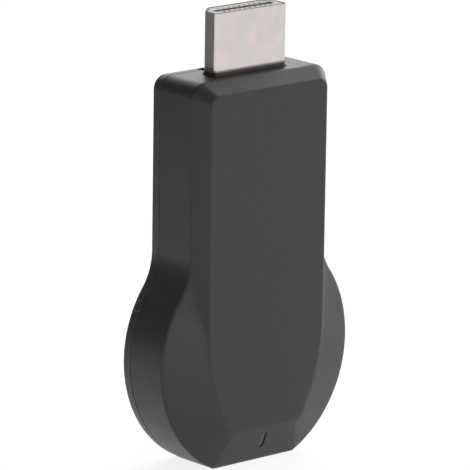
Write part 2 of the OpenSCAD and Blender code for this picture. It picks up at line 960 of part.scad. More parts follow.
// Rows of tiny parts: beside the processor in front, beside the memory at the back
tiny_w = 0.6;
tiny_h = 1.1;
tiny_t = 0.55;
tiny_pitch = 1.5;
tiny_gap = 0.9;
tiny_rows = 7;
module ceramic_capacitors() {
    x = processor_w / 2 + tiny_gap;
    color([0.72, 0.60, 0.45])
        for (k = [0 : tiny_rows - 1])
            on_front(x, processor_z + (k - (tiny_rows - 1) / 2) * tiny_pitch,
                tiny_w, tiny_h, tiny_t);
}

module resistors() {
    x = memory_w / 2 + tiny_gap;
    color([0.10, 0.10, 0.11])
        for (side = [-1, 1])
            for (k = [0 : tiny_rows - 1])
                on_back(side * x, processor_z + (k - (tiny_rows - 1) / 2) * tiny_pitch,
                    tiny_w, tiny_h, tiny_t);
}

// Side switch: moulded base with a channel, folded cover, and the plunger in it
module switch_body() {
    half_z = plunger_w / 2 + plunger_clear;
    half_y = plunger_t / 2 + plunger_clear;
    color([0.15, 0.15, 0.16])
        at_button()
            difference() {
                box([-switch_out, board_back, -switch_w / 2],
                    [-switch_out + switch_l, board_back + switch_t, switch_w / 2]);
                box([-switch_out - over, plunger_y - half_y, -half_z],
                    [-switch_out + plunger_root + button_travel + plunger_clear,
                        plunger_y + half_y, half_z]);
            }
}

module switch_cover() {
    side_z = switch_w / 2;
    color([0.78, 0.78, 0.78])
        at_button() {
            box([-switch_out, board_back + switch_t, -side_z - switch_sheet_t],
                [-switch_out + switch_l, board_back + switch_t + switch_sheet_t,
                    side_z + switch_sheet_t]);
            for (side = [0, 1])
                mirror([0, 0, side])
                    box([-switch_out, board_back, side_z],
                        [-switch_out + switch_l, board_back + switch_t, side_z + switch_sheet_t]);
        }
}

module switch_plunger() {
    color([0.85, 0.85, 0.84])
        at_button()
            box([-plunger_out, plunger_y - plunger_t / 2, -plunger_w / 2],
                [-switch_out + plunger_root, plunger_y + plunger_t / 2, plunger_w / 2]);
}

front_shell();
rear_cover();
side_button();
light_pipe();
plug_shell();
plug_insulator();
plug_contacts_front();
plug_contacts_back();
usb_shell();
usb_tongue();
usb_contacts();
main_board();
processor();
thermal_pad();
heat_spreader();
memory_chip();
flash_chip();
flash_leads();
wifi_board();
wifi_can();
chip_antenna();
crystal();
power_inductor();
regulator();
regulator_leads();
tantalum_capacitor();
status_led();
plug_guard_chips();
ceramic_capacitors();
resistors();
switch_body();
switch_cover();
switch_plunger();
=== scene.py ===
from math import asin, atan2, cos, pi, radians, sin, sqrt, tan

import bmesh
import bpy
from mathutils import Matrix, Vector


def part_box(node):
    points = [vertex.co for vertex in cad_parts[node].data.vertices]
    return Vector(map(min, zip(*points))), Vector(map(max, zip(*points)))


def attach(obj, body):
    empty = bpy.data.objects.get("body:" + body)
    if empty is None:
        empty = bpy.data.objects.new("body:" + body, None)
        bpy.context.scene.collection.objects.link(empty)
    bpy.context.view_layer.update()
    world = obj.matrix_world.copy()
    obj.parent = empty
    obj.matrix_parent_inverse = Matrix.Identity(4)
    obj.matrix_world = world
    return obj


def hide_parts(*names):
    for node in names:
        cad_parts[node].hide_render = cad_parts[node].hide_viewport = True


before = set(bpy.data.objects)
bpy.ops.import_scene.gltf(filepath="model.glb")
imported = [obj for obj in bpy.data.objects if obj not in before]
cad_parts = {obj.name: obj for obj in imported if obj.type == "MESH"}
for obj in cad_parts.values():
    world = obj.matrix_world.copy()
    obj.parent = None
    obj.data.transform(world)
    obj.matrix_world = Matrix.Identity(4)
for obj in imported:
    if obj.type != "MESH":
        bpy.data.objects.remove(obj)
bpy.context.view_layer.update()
scene = bpy.context.scene

# Camera. It stands in front of the dongle, to its left and a little above it, far
# enough away that the stem's edges stay nearly parallel, as in the photograph.
mm = 0.001
azimuth = radians(-41.257)
elevation = radians(13.891)
roll = radians(0.834)
distance = 712.17 * mm
target = Vector((-1.456, 0, 34.195)) * mm
back = Vector((sin(azimuth) * cos(elevation),
               -cos(azimuth) * cos(elevation),
               sin(elevation)))
level = (-back).cross(Vector((0, 0, 1))).normalized()
upright = level.cross(-back)
across = level * cos(roll) + upright * sin(roll)
along = upright * cos(roll) - level * sin(roll)


def new_object(name, data):
    item = bpy.data.objects.new(name, data)
    scene.collection.objects.link(item)
    return item


optics = bpy.data.cameras.new("photo_view")
optics.sensor_width = 36
optics.lens = 368.52
optics.clip_start = 0.05
optics.clip_end = 20
camera = new_object("photo_view", optics)
camera.matrix_world = (Matrix.Translation(target + back * distance)
                       @ Matrix((across, along, back)).transposed().to_4x4())
scene.camera = camera


# Studio. A white floor, lit from the right by a broad soft light and from the front by a
# low strip. A dark card stands to the left, behind the dongle, as its dark walls show.
def feed(node, inputs):
    """Sets a node's inputs, or links them where a node or one of its outputs is given."""
    for name, value in inputs.items():
        if isinstance(value, bpy.types.Node):
            value = next(output for output in value.outputs if output.enabled)
        if isinstance(value, bpy.types.NodeSocket):
            node.id_data.links.new(value, node.inputs[name])
        else:
            node.inputs[name].default_value = value


def node_adder(tree):
    """A function that adds a node to the tree, with its inputs and settings."""
    def add(kind, inputs=None, **settings):
        node = tree.nodes.new(kind)
        for name, value in settings.items():
            setattr(node, name, value)
        feed(node, inputs or {})
        return node

    return add


def new_material(name):
    """An empty material, and the function that adds nodes to it."""
    made = bpy.data.materials.new(name)
    made.use_nodes = True
    made.node_tree.nodes.clear()
    return made, node_adder(made.node_tree)


def screen(name, points, faces, paint):
    """A thin sheet of the studio."""
    mesh = bpy.data.meshes.new(name)
    mesh.from_pydata(points, [], faces)
    mesh.materials.append(paint)
    item = new_object(name, mesh)
    return item


def matte(add, grey):
    return add("ShaderNodeBsdfDiffuse", {"Color": (grey, grey, grey, 1)})


def maths(add, operation, a, b):
    return add("ShaderNodeMath", {0: a, 1: b}, operation=operation)


def ramped(add, value, low, high, top=1.0):
    """Rises softly from 0 at the low value to the top at the high one."""
    return add("ShaderNodeMapRange", {"Value": value, "From Min": low, "From Max": high, "To Max": top},
               interpolation_type="SMOOTHSTEP")


# Seen by the camera or in a reflection, the floor glows, which keeps its shadows faint
floor_paint, add = new_material("floor_paint")
glow = add("ShaderNodeEmission", {"Strength": 0.83})
seen = add("ShaderNodeAddShader", {0: matte(add, 0.32), 1: glow})
rays = add("ShaderNodeLightPath").outputs
seen_rays = maths(add, "MAXIMUM", rays["Is Camera Ray"], rays["Is Glossy Ray"])
clear_rays = maths(add, "MAXIMUM", seen_rays, rays["Is Transmission Ray"])
shown = add("ShaderNodeMixShader", {"Fac": clear_rays, 1: matte(add, 0.95), 2: seen})
add("ShaderNodeOutputMaterial", {"Surface": shown})
floor_drop = 0.02 * mm
floor = screen("studio_floor", [(-3, -3, 0), (3, -3, 0), (3, 3, 0), (-3, 3, 0)], [(0, 1, 2, 3)], floor_paint)
floor.location.z = -floor_drop

room = bpy.data.worlds.new("studio_room")
room.use_nodes = True
room.node_tree.nodes.clear()
add = node_adder(room.node_tree)
direction = add("ShaderNodeTexCoord").outputs["Generated"]


def room_side(add, axis, strength, edge=0.75, full=0.97):
    """Light that grows towards one side of the room."""
    towards = add("ShaderNodeVectorMath", {0: direction, 1: Vector(axis).normalized()},
                  operation="DOT_PRODUCT")
    return ramped(add, towards, edge, full, strength)


brightness = room_side(add, (0.94, 0.34, 0), 1.45, 0.0, 0.9)
for axis, strength in (((0.97, 0, 0.24), 1.35), ((0.62, 0.75, 0.24), 0.45), ((0.45, 0.55, 0.70), 0.7),
                       ((-0.62, -0.75, 0.24), 0.4), ((0, -0.7, 0.7), 0.5)):
    brightness = maths(add, "ADD", brightness, room_side(add, axis, strength))
add("ShaderNodeOutputWorld", {"Surface": add("ShaderNodeBackground", {"Color": brightness})})
scene.world = room

lamp = bpy.data.lights.new("front_strip", "AREA")
lamp.shape = "RECTANGLE"
lamp.size = 0.6
lamp.size_y = 0.1
lamp.energy = 1.1
strip_light = new_object("front_strip", lamp)
strip_light.location = (0.1, -1.0, 0.06)
strip_target = Vector((0, 0, 0.03))
strip_light.rotation_euler = (strip_target - strip_light.location).to_track_quat("-Z", "Y").to_euler()

card_h = 0.5
card_foot = [(-0.02, 0.22), (-0.20, 0.12), (-0.23, 0.03)]
card_paint, add = new_material("card_paint")
add("ShaderNodeOutputMaterial", {"Surface": matte(add, 0.22)})
card = screen("dark_card", [(x, y, z) for z in (0, card_h) for x, y in card_foot],
              [(0, 1, 4, 3), (1, 2, 5, 4)], card_paint)
card.visible_camera = card.visible_diffuse = card.visible_shadow = False

scene.view_settings.view_transform = "Standard"


# Front shell: deep front half of the housing, injection moulded in charcoal plastic with
# a fine matte texture. Its rim slopes to the flat panel; the board stands on its four
# posts, and the rear cover's hooks catch in pockets in its walls.
front_low, front_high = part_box("front_shell")
rear_low, rear_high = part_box("rear_cover")
front_y = front_low.y
seam_y = front_high.y
back_y = rear_high.y
housing_h = front_high.z
disc_r = front_high.x
flat_end_cut = 1.75 * mm
disc_z = disc_r - flat_end_cut
stem_x = 13 * mm
shoulder_r = 9 * mm
stem_corner_r = 2.2 * mm
wall_t = 1.3 * mm
front_wall_t = 1.4 * mm
cover_t = 1.2 * mm
cover_y = back_y - cover_t
seam_chamfer = 0.12 * mm
overrun = 0.5 * mm

shoulder_x = stem_x + shoulder_r
shoulder_z = disc_z + sqrt((disc_r + shoulder_r) ** 2 - shoulder_x ** 2)
shoulder_angle = atan2(shoulder_z - disc_z, shoulder_x)

rim_depth = 2.5 * mm
rim_w = 1.75 * mm
rim_y = front_y + rim_depth
panel_x = stem_x - rim_w
panel_top_z = housing_h - rim_w
panel_foot_z = 5.8 * mm
panel_foot_r = 1.6 * mm
panel_corner_r = 1.4 * mm
flare_z = 22 * mm
flare_r = 32 * mm
flare_x = panel_x - flare_r
foot_angle = -asin((flare_z - panel_foot_z - panel_foot_r) / (flare_r - panel_foot_r))
foot_x = flare_x + (flare_r - panel_foot_r) * cos(foot_angle)
crease_z = 20 * mm
crease_soft = 0.8 * mm
rim_wall_t = 0.9 * mm
cavity_front = rim_y + rim_wall_t
cavity_inset = 1 * mm

# Steps of the outlines, alike on wall and panel so that they can be joined
low_steps, high_steps, foot_steps, shoulder_steps, corner_steps = 44, 28, 16, 16, 12
flare_steps = low_steps + high_steps - foot_steps


def arc(x, z, radius, first, last, steps):
    """Points of an arc as (x, z), both ends included; angles in radians."""
    turn = (last - first) / steps
    return [(x + radius * cos(first + turn * k), z + radius * sin(first + turn * k))
            for k in range(steps + 1)]


def housing_outline(inset=0.0):
    """The housing seen from the front: round end, hollow shoulders, straight stem."""
    r = disc_r - inset
    corner = max(stem_corner_r - inset, stem_corner_r / 8)
    half = arc(0, disc_z, r, asin((inset - disc_z) / r), 0, low_steps)
    half += arc(0, disc_z, r, 0, shoulder_angle, high_steps)[1:]
    half += arc(shoulder_x, shoulder_z, shoulder_r + inset, pi + shoulder_angle, pi, shoulder_steps)[1:]
    half += arc(stem_x - inset - corner, housing_h - inset - corner, corner, 0, pi / 2, corner_steps)
    return half + [(-x, z) for x, z in reversed(half)]


def panel_outline(inset=0.0):
    """The flat front panel, with as many points as the housing's outline."""
    curve = flare_r - inset
    foot = max(panel_foot_r - inset, panel_foot_r / 8)
    corner = max(panel_corner_r - inset, panel_corner_r / 8)
    low = asin((crease_z - crease_soft - flare_z) / curve)
    high = asin((crease_z + crease_soft - flare_z) / curve)
    half = arc(foot_x, panel_foot_z + panel_foot_r, foot, -pi / 2, foot_angle, foot_steps)[:-1]
    half += arc(flare_x, flare_z, curve, foot_angle, low, flare_steps)
    half += arc(flare_x, flare_z, curve, low, high, shoulder_steps)[1:]
    half += arc(panel_x - inset - corner, panel_top_z - inset - corner, corner, 0, pi / 2, corner_steps)
    return half + [(-x, z) for x, z in reversed(half)]


def at_depth(outline, y):
    return [Vector((x, y, z)) for x, z in outline]


def between(a, b, share):
    return [p.lerp(q, share) for p, q in zip(a, b)]


def eased(a, b, c, steps=10):
    """Rings of a soft crease from ring a to ring c, with ring b as its sharp edge."""
    return [between(between(a, b, k / steps), between(b, c, k / steps), k / steps) for k in range(steps + 1)]


def skinned(name, rings, loop=False):
    """A solid through rings of equally many points, its ends capped or joined in a loop."""
    shape = bmesh.new()
    rows = [[shape.verts.new(p) for p in ring] for ring in rings]
    for a, b in zip(rows[-1:] + rows, rows) if loop else zip(rows, rows[1:]):
        for k in range(len(a)):
            shape.faces.new((a[k - 1], a[k], b[k], b[k - 1]))
    if not loop:
        shape.faces.new(rows[0])
        shape.faces.new(rows[-1])
    bmesh.ops.recalc_face_normals(shape, faces=shape.faces)
    mesh = bpy.data.meshes.new(name)
    shape.to_mesh(mesh)
    shape.free()
    return new_object(name, mesh)


def prism(name, outline, from_y, to_y):
    return skinned(name, [at_depth(outline, from_y), at_depth(outline, to_y)])


def rectangle(low, high):
    return [(low[0], low[1]), (high[0], low[1]), (high[0], high[1]), (low[0], high[1])]


def standing(outline, z):
    return [Vector((x, y, z)) for x, y in outline]


def block(name, low, high, place=Matrix()):
    """A box between two corners, turned and moved by a matrix."""
    item = skinned(name, [standing(rectangle(low, high), z) for z in (low[2], high[2])])
    item.data.transform(place)
    return item


def bar(name, x, z, from_y, to_y, radius):
    """A round bar along the depth."""
    round_steps = 48
    return prism(name, arc(x, z, radius, 0, 2 * pi, round_steps)[:-1], from_y, to_y)


def settled(item):
    """The item as its modifiers make it, as a plain mesh."""
    mesh = bpy.data.meshes.new_from_object(item.evaluated_get(bpy.context.evaluated_depsgraph_get()))
    item.modifiers.clear()
    item.data = mesh
    return item


def worked(body, *steps):
    """Adds or cuts solids in turn: each step is an operation and the solids it uses."""
    jobs = [(operation, tool) for operation, tools in steps for tool in tools]
    for operation, tool in jobs:
        step = body.modifiers.new(tool.name, "BOOLEAN")
        step.operation = operation
        step.solver = "EXACT"
        step.object = tool
    settled(body)
    for operation, tool in jobs:
        bpy.data.objects.remove(tool)
    return body


def smooth(piece):
    """Smooth shading with crisp edges, and flat faces that stay flat."""
    weld = 0.0002 * mm
    crisp_angle = radians(32)
    shape = bmesh.new()
    shape.from_mesh(piece.data)
    bmesh.ops.remove_doubles(shape, verts=shape.verts, dist=weld)
    bmesh.ops.dissolve_degenerate(shape, edges=shape.edges, dist=weld)
    shape.to_mesh(piece.data)
    shape.free()
    piece.data.shade_smooth()
    piece.data.set_sharp_from_angle(angle=crisp_angle)
    flat_faces = piece.modifiers.new("flat_faces", "WEIGHTED_NORMAL")
    flat_faces.weight = 60
    flat_faces.keep_sharp = True
    return settled(piece)


# The plug's opening in the top, flared a little at its mouth
plug_low, plug_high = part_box("plug_shell")
plug_x = plug_high.x
plug_front = plug_low.y
plug_back = plug_high.y
plug_middle = (plug_front + plug_back) / 2
plug_top = plug_high.z
plug_narrow_x = 4.9 * mm
plug_side_t = 2.5 * mm
plug_corner_r = 0.55 * mm
plug_gap = 0.2 * mm
plug_seat = 7.9 * mm
board_top = housing_h - plug_seat
notch_wall = 0.65 * mm
notch_side_gap = 0.3 * mm
mouth_soft = 0.1 * mm
upwards = Vector((0, 0, overrun))


def rounded(corners, radius, steps=8):
    """The outline through these corners, each rounded with the same radius."""
    points = []
    for k, here in enumerate(corners):
        here = Vector(here)
        a = (Vector(corners[k - 1]) - here).normalized()
        b = (Vector(corners[(k + 1) % len(corners)]) - here).normalized()
        half = a.angle(b) / 2
        middle = here + (a + b).normalized() * radius / sin(half)
        first = here + a * radius / tan(half) - middle
        last = here + b * radius / tan(half) - middle
        start = atan2(first.y, first.x)
        sweep = (atan2(last.y, last.x) - start + pi) % (2 * pi) - pi
        points += arc(middle.x, middle.y, radius, start, start + sweep, steps)
    return points


def mitre(inset):
    """How far an inset moves the ends of an edge between two 45 degree corners."""
    return inset * tan(radians(22.5))


def plug_corners(inset=0.0):
    """The plug seen from its end: a wide front, cut corners at the narrow back."""
    x = plug_x - inset
    narrow = plug_narrow_x - mitre(inset)
    knee = plug_front + plug_side_t - mitre(inset)
    return [(-x, plug_front + inset), (x, plug_front + inset), (x, knee),
            (narrow, plug_back - inset), (-narrow, plug_back - inset), (-x, knee)]


def flare(soft, steps=4):
    """Rounding of a mouth: (growth of the opening, distance below the surface)."""
    turns = [pi / 2 * k / steps for k in range(steps + 1)]
    return [(soft * (1 - cos(a)), soft * (1 - sin(a))) for a in turns]


def mouth(name, root, ring, soft, out):
    """A cutter from its root rings to a flared mouth of ring(grow, drop), and on outwards."""
    rings = root + [ring(grow, drop) for grow, drop in flare(soft)]
    return skinned(name, rings + [[p + out for p in rings[-1]]])


def top_mouth(name, outline):
    """An opening from the board to the housing's top."""
    return mouth(name, [standing(outline(0), board_top)],
                 lambda grow, drop: standing(outline(grow), housing_h - drop), mouth_soft, upwards)


def plug_mouth():
    return top_mouth("plug_mouth", lambda grow: rounded(plug_corners(-plug_gap - grow), plug_corner_r))


def notch_mouth():
    """The step behind the plug, open to the rear cover's thin top wall."""
    x = plug_narrow_x + notch_side_gap
    high = back_y - notch_wall
    return top_mouth("notch_mouth",
                     lambda grow: rectangle((-x - grow, plug_middle), (x + grow, high + grow)))


# The power socket's opening in the flat end, and the button's in the left side
usb_low, usb_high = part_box("usb_shell")
usb_x = 3.75 * mm
usb_gap = 0.25 * mm
board_back = usb_low.y
usb_depth = (usb_high.z - usb_low.z) / 2


def usb_mouth():
    def outline(grow):
        x = usb_x + usb_gap + grow
        return rectangle((-x, board_back - usb_gap - grow), (x, usb_high.y + usb_gap + grow))

    return mouth("usb_mouth", [standing(outline(0), usb_low.z + usb_depth)],
                 lambda grow, drop: standing(outline(grow), drop), mouth_soft, -upwards)


button_turn = radians(27)


def about_disc(turn):
    return Matrix.Translation((0, 0, disc_z)) @ Matrix.Rotation(turn, 4, "Y")


at_button = about_disc(button_turn)
button_inset = 1.5 * mm
button_y = back_y - button_inset
button_w = 1.6 * mm
button_h = 1.9 * mm
button_corner_r = 0.6 * mm
button_gap = 0.07 * mm
flange_gap = 0.1 * mm
flange_t = 0.6 * mm
flange_h = 3.2 * mm
flange_out = disc_r - wall_t - flange_gap
flange_in = flange_out - flange_t


def button_ring(grow, x):
    """The button's outline at a distance along its travel."""
    y = button_w / 2 + grow
    z = button_h / 2 + grow
    return [Vector((x, button_y + a, b))
            for a, b in rounded(rectangle((-y, -z), (y, z)), button_corner_r + grow)]


def button_mouth():
    item = mouth("button_mouth", [button_ring(button_gap, overrun - flange_in)],
                 lambda grow, drop: button_ring(button_gap + grow, drop - disc_r),
                 mouth_soft / 2, Vector((-overrun, 0, 0)))
    item.data.transform(at_button)
    return item


# The indicator's slot, flared along the slope that it opens in
window_x = 0.45 * mm
window_z = 3.4 * mm
window_w = 0.9 * mm
window_h = 2.5 * mm
slope = (rim_y - front_y) / panel_foot_z


def slot_outline(w, h):
    """A slot with round ends, standing up."""
    round_steps = 12
    z = (h - w) / 2
    return (arc(window_x, window_z + z, w / 2, 0, pi, round_steps)
            + arc(window_x, window_z - z, w / 2, pi, 2 * pi, round_steps))


def slope_ring(w, h, grow, drop):
    """The slot's outline, grown and let in below the slope."""
    return [Vector((x, rim_y - slope * z + drop, z)) for x, z in slot_outline(w + 2 * grow, h + 2 * grow)]


def window_mouth():
    return mouth("window_mouth", [at_depth(slot_outline(window_w, window_h), cavity_front + overrun)],
                 lambda grow, drop: slope_ring(window_w, window_h, grow, drop),
                 mouth_soft / 2, Vector((0, -overrun, 0)))


# The posts that the board stands on, and the pockets that the rear cover's hooks catch in
post_r = 1.3 * mm
post_drop = 10 * mm
pin_r = 0.5 * mm
pin_reach = 1.2 * mm
board_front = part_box("main_board")[0].y
edge_margin = 3.7 * mm
lower_post_angle = radians(-36)
post_reach = disc_r - edge_margin
posts = [(side * x, z) for side in (-1, 1) for x, z in (
    (stem_x - edge_margin, housing_h - post_drop),
    (post_reach * cos(lower_post_angle), disc_z + post_reach * sin(lower_post_angle)))]
hook_w = 3 * mm
hook_t = 0.8 * mm
hook_gap = 0.1 * mm
hook_catch = 0.4 * mm
hook_catch_h = 0.7 * mm
hook_low = rear_low.y
stem_hook_drop = 21 * mm
disc_hook_turn = radians(8)
stem_hook = Matrix.Translation((stem_x - wall_t, 0, housing_h - stem_hook_drop))
disc_hook = about_disc(disc_hook_turn) @ Matrix.Translation((disc_r - wall_t, 0, 0))
hook_places = [mirrored @ place for place in (stem_hook, disc_hook)
               for mirrored in (Matrix(), Matrix.Scale(-1, 4, (1, 0, 0)))]


def hook_catches(grow):
    return [block("hook_catch",
                  (-hook_gap - grow, hook_low - grow, -hook_w / 2 - grow),
                  (hook_catch + grow, hook_low + hook_catch_h + grow, hook_w / 2 + grow), place)
            for place in hook_places]


def bars(name, from_y, to_y, radius):
    """A bar at each post's place."""
    return [bar(name, x, z, from_y, to_y, radius) for x, z in posts]


def front_rings():
    rim_ease = 0.28 * mm
    panel_ease = 0.35 * mm
    ease_share = 0.1
    wall = at_depth(housing_outline(), rim_y + rim_ease)
    rim = at_depth(housing_outline(), rim_y)
    edge = at_depth(panel_outline(), front_y)
    panel = at_depth(panel_outline(panel_ease), front_y)
    return ([at_depth(housing_outline(seam_chamfer), seam_y),
             at_depth(housing_outline(), seam_y - seam_chamfer)]
            + eased(wall, rim, between(rim, edge, ease_share))
            + eased(between(rim, edge, 1 - ease_share), edge, panel))


panel_inside = front_y + front_wall_t
front_shell = worked(
    skinned("front_shell_moulding", front_rings()),
    ("DIFFERENCE", [prism("cavity", housing_outline(wall_t), cavity_front, seam_y + overrun),
                    prism("recess", panel_outline(cavity_inset), panel_inside, cavity_front + overrun)]),
    ("UNION", [bar("post", x, z, (panel_inside if z > disc_z else cavity_front) - overrun / 2,
                   board_front, post_r) for x, z in posts]),
    ("UNION", bars("pin", board_front - overrun, board_back + pin_reach, pin_r)),
    ("DIFFERENCE", [plug_mouth(), notch_mouth(), usb_mouth(), button_mouth(), window_mouth()]),
    ("DIFFERENCE", hook_catches(hook_gap)))
smooth(front_shell)


# Shared effects: the fine grain of a textured mould or a blasted sheet, and edges
# rubbed smooth by hands and pockets.
def new_group(name, inputs, *outputs):
    """A shader node group with float sockets, and the function that adds nodes to it."""
    group = bpy.data.node_groups.new(name, "ShaderNodeTree")
    for label, value in inputs.items():
        socket = group.interface.new_socket(label, in_out="INPUT", socket_type="NodeSocketFloat")
        socket.default_value = value
    for label in outputs:
        group.interface.new_socket(label, in_out="OUTPUT", socket_type="NodeSocketFloat")
    return group, node_adder(group)


def spread(add, size):
    """The inputs of a texture in object coordinates, with features of a size in metres."""
    return {"Vector": add("ShaderNodeTexCoord").outputs["Object"], "Scale": maths(add, "DIVIDE", 1, size)}


def noise(add, size, detail):
    return add("ShaderNodeTexNoise", {**spread(add, size), "Detail": detail})


fine_grain, add = new_group("fine_grain", {"Grain Size": 0.2 * mm, "Patch Size": 4 * mm},
                            "Height", "Patches")
sizes = add("NodeGroupInput").outputs
add("NodeGroupOutput", {"Height": noise(add, sizes["Grain Size"], 3),
                        "Patches": noise(add, sizes["Patch Size"], 4)})

# An edge is where the surface turns away from the same surface rounded off
rubbed_edge, add = new_group("rubbed_edge", {"Amount": 0.5, "Patch Size": 3 * mm}, "Mask")
given = add("NodeGroupInput").outputs
rounded_normal = add("ShaderNodeBevel", {"Radius": 0.25 * mm}, samples=6)
match = add("ShaderNodeVectorMath", {0: rounded_normal, 1: add("ShaderNodeNewGeometry").outputs["Normal"]},
            operation="DOT_PRODUCT")
broken = add("ShaderNodeMapRange", {"Value": noise(add, given["Patch Size"], 5),
                                    "From Min": 0.3, "From Max": 0.65})
rubbed = maths(add, "MULTIPLY", ramped(add, match, 1.0, 0.90), broken)
add("NodeGroupOutput", {"Mask": maths(add, "MULTIPLY", rubbed, given["Amount"])})


def mixed(add, share, a, b):
    """Mixes two colours: each is red, green and blue, or comes from a node."""
    sides = {side: (*colour, 1) if isinstance(colour, (tuple, list)) else colour
             for side, colour in (("A", a), ("B", b))}
    return add("ShaderNodeMix", {"Factor": share, **sides}, data_type="RGBA")


def surfaced(add, texture, colour, roughness, depth, height, metallic=0.0, specular=0.5):
    """Ends a material: gloss that changes with the texture's patches, and a relief."""
    gloss = add("ShaderNodeMapRange", {"Value": texture["Patches"], "To Min": roughness[0],
                                       "To Max": roughness[1]})
    relief = add("ShaderNodeBump", {"Strength": 1, "Distance": depth, "Height": height})
    surface = add("ShaderNodeBsdfPrincipled", {
        "Base Color": colour, "Roughness": gloss, "Normal": relief, "Metallic": metallic,
        "Specular IOR Level": specular})
    add("ShaderNodeOutputMaterial", {"Surface": surface})


def finish(name, colour, roughness, grain, depth=0.002, tone=0.05, wear=0.3, patch=1.5,
           rough_change=0.08, metallic=0.0, worn_colour=None, specular=0.5, tints=None):
    """A finish with its own grain, uneven tone (or two tints of its own) and rubbed edges.
    Grain, depth and patch are in mm."""
    light, dark = tints or [[min(c * share, 1) for c in colour] for share in (1 - tone, 1 + tone)]
    made, add = new_material(name)
    texture = add("ShaderNodeGroup", {"Grain Size": grain * mm, "Patch Size": patch * mm},
                  node_tree=fine_grain).outputs
    edges = add("ShaderNodeGroup", {"Amount": wear}, node_tree=rubbed_edge)
    worn = mixed(add, edges, mixed(add, texture["Patches"], light, dark),
                 worn_colour or [min(c * 1.6, 1) for c in colour])
    surfaced(add, texture, worn, (roughness - rough_change, roughness + rough_change), depth * mm,
             texture["Height"], metallic, specular)
    return made


charcoal = finish("charcoal_plastic", (0.035, 0.035, 0.0362), 0.42, grain=0.24, depth=0.03,
                  wear=0.35, patch=4, specular=0.42)


def fitted(piece, slot, material, *nodes, body="housing"):
    """Gives a piece its finish and its body, and hides the CAD nodes that it stands for."""
    piece.data.materials.clear()
    piece.data.materials.append(material)
    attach(piece, body)
    if nodes:
        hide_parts(*nodes)


fitted(front_shell, "housing_plastic", charcoal, "front_shell")


# Rear cover: thin rear half of the housing in the same plastic, pressed home with four
# snap hooks. A lip inside the front shell's walls lines the two halves up.
def rear_rings():
    back_edge_r = 0.5 * mm
    draft = 0.12 * mm
    return ([at_depth(housing_outline(draft + grow), back_y - drop)
             for grow, drop in reversed(flare(back_edge_r, 8))]
            + [at_depth(housing_outline(), seam_y + seam_chamfer),
               at_depth(housing_outline(seam_chamfer), seam_y)])


def lip():
    """A thin wall that stands on the cover's plate."""
    lip_t = 0.8 * mm
    lip_reach = 1.2 * mm
    outer = housing_outline(wall_t + hook_gap)
    inner = housing_outline(wall_t + hook_gap + lip_t)
    low, high = seam_y - lip_reach, cover_y + overrun / 2
    rings = [at_depth(outer, low), at_depth(outer, high), at_depth(inner, high), at_depth(inner, low)]
    return skinned("lip", rings, loop=True)


def button_pocket():
    """Room for the button's flange and its travel."""
    room = 0.5 * mm
    floor_gap = 0.3 * mm
    travel = 0.25 * mm
    return block("button_pocket",
                 (-disc_r + wall_t, board_back + floor_gap, -flange_h / 2 - room),
                 (-flange_in + travel + overrun, cover_y, flange_h / 2 + room), at_button)


pin_gap = 0.1 * mm
rear_cover = worked(
    skinned("rear_cover_moulding", rear_rings()),
    ("DIFFERENCE", [prism("hollow", housing_outline(wall_t), seam_y - overrun, cover_y)]),
    ("UNION", [lip()]),
    ("UNION", [block("hook", (-hook_gap - hook_t, hook_low, -hook_w / 2),
                     (-hook_gap, cover_y + overrun / 2, hook_w / 2), place) for place in hook_places]),
    ("UNION", hook_catches(0)),
    ("UNION", bars("post", board_back, cover_y + overrun / 2, post_r)),
    ("DIFFERENCE", bars("bore", board_back - overrun, board_back + pin_reach + pin_gap,
                        pin_r + pin_gap)),
    ("DIFFERENCE", [plug_mouth(), notch_mouth(), usb_mouth(), button_mouth(), button_pocket()]))
fitted(smooth(rear_cover), "housing_plastic", charcoal, "rear_cover")


# Side button. A small head moulded in one with a flange, in the same plastic as the
# housing. It slides in its opening at the seam and presses the switch on the board.
button_proud = 0.3 * mm
flange_foot_gap = 0.8 * mm


def button_head():
    """The head from its root to a slightly domed face with a rounded rim."""
    rim_soft = 0.18 * mm
    dome = 0.05 * mm
    top = -disc_r - button_proud
    rings = [button_ring(0, -flange_in)]
    rings += [button_ring(-grow, top + dome + drop) for grow, drop in flare(rim_soft, 6)]
    middle = Vector((top, button_y, 0))
    face = [Vector((0, p.y - button_y, p.z)) for p in rings[-1]]
    for share in (0.8, 0.6, 0.4, 0.2):
        height = Vector((dome * share ** 2, 0, 0))
        rings.append([middle + height + p * share for p in face])
    return skinned("button_cap", rings)


button_cap = worked(
    button_head(),
    ("UNION", [block("flange", (-flange_out, board_back + flange_foot_gap, -flange_h / 2),
                     (-flange_in, button_y, flange_h / 2))]))
button_cap.data.transform(at_button)
button_charcoal = finish("button_plastic", (0.052, 0.052, 0.054), 0.46, grain=0.14, depth=0.005)
fitted(smooth(button_cap), "button_plastic", button_charcoal, "side_button", body="button")


# Indicator window. A smoked moulding held behind its slot in the sloping rim; its stem
# carries the light of the lamp on the board. Its face lies a little below the rim.
def window_piece():
    gap = 0.07 * mm
    recess = 0.18 * mm
    face_soft = 0.06 * mm
    flange_w = 1 * mm
    plate_t = 0.6 * mm
    stem_h = 1.6 * mm
    tip_gap = 1 * mm
    w, h = window_w - 2 * gap, window_h - 2 * gap
    plate_end = cavity_front + plate_t
    rings = [slope_ring(w, h, -grow, recess + drop) for grow, drop in reversed(flare(face_soft))]
    rings.append(at_depth(slot_outline(w, h), cavity_front))
    rings += [at_depth(slot_outline(window_w + flange_w, window_h + flange_w), y)
              for y in (cavity_front, plate_end)]
    rings += [at_depth(slot_outline(window_w, stem_h), y) for y in (plate_end, board_front - tip_gap)]
    return skinned("indicator_window", rings)


smoked_plastic = finish(
    "smoked_plastic", (0.075, 0.075, 0.078), 0.34, grain=0.4, tone=0.04, wear=0.1, patch=1)
fitted(smooth(window_piece()), "smoked_plastic", smoked_plastic, "light_pipe")
